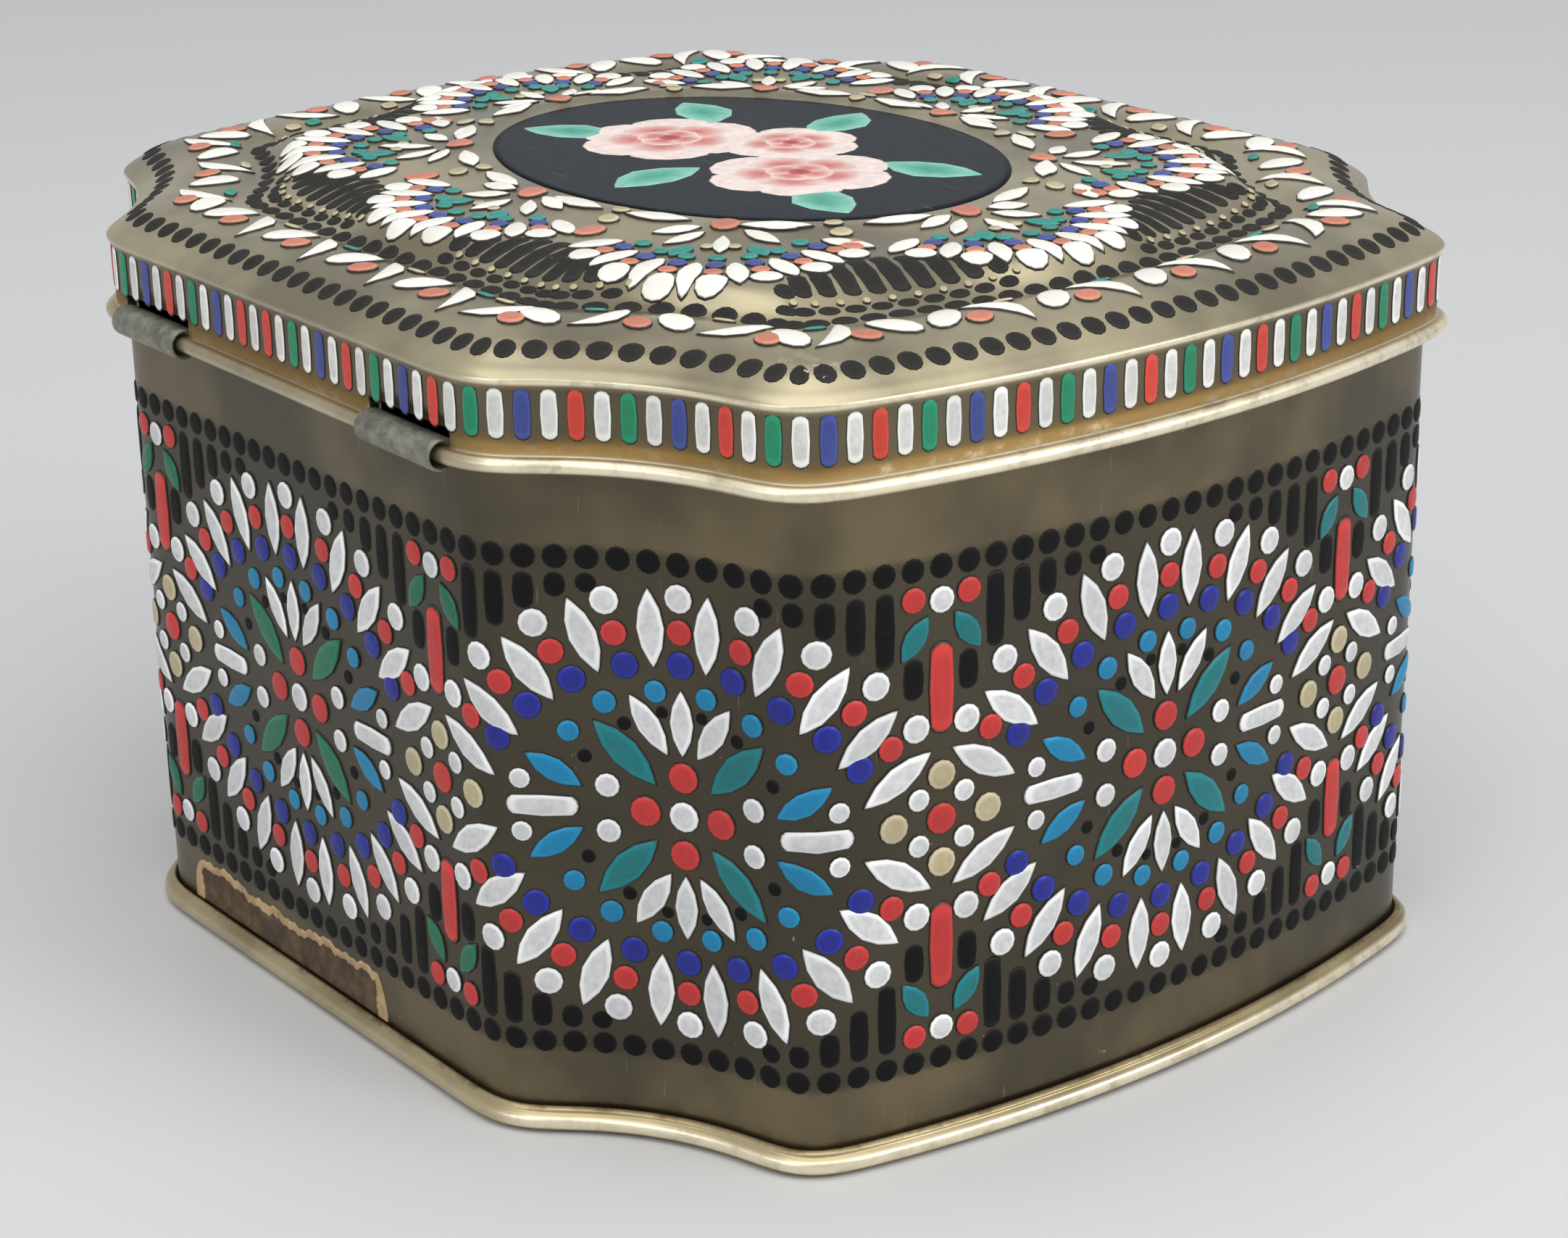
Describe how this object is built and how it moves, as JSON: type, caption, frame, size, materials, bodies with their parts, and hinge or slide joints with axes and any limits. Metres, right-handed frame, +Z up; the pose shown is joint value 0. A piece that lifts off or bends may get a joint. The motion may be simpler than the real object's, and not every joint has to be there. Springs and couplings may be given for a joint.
{
  "type": "decorative tin",
  "caption": "Hinged eight-sided tin box with bowed ends and hollowed corner cuts, embossed all over with a bead mosaic of rosettes, under a cushioned lid with an oval flower panel",
  "frame": {"origin": "under the middle of the tin, on the surface it stands on", "axes": "+Z up, X along the longer side, +Y towards the hinge"},
  "size_m": [0.14, 0.1244, 0.0842],
  "materials": {
    "gold_lacquer": "aged bronze-gold lacquer on tinplate, satin",
    "seam_gold": "worn bright gold lacquer",
    "lid_gold": "aged gold lacquer, satin",
    "enamel_white": "printed white enamel, glossy",
    "enamel_red": "printed red enamel, glossy",
    "enamel_blue": "printed blue enamel, glossy",
    "enamel_turquoise": "printed turquoise enamel, glossy",
    "enamel_teal": "printed teal enamel, glossy",
    "enamel_green": "printed green enamel, glossy",
    "enamel_black": "printed black enamel, satin",
    "enamel_cream": "printed cream enamel, glossy",
    "enamel_salmon": "printed salmon enamel, glossy",
    "picture_panel": "printed flower picture on black, glossy",
    "bare_tin": "dull unprinted tinplate",
    "label_residue": "torn paper and dried glue, matt"
  },
  "bodies": {
    "box": {"body_wall": "gold_lacquer", "base_plate": "seam_gold"},
    "lid": {"lid": "lid_gold"}
  },
  "joints": [
    {"name": "lid_hinge", "type": "hinge", "parent": "box", "child": "lid", "pos_m": [0, 0.061, 0.0702], "axis": [-1, 0, 0], "range_deg": [0, 105]}
  ]
}
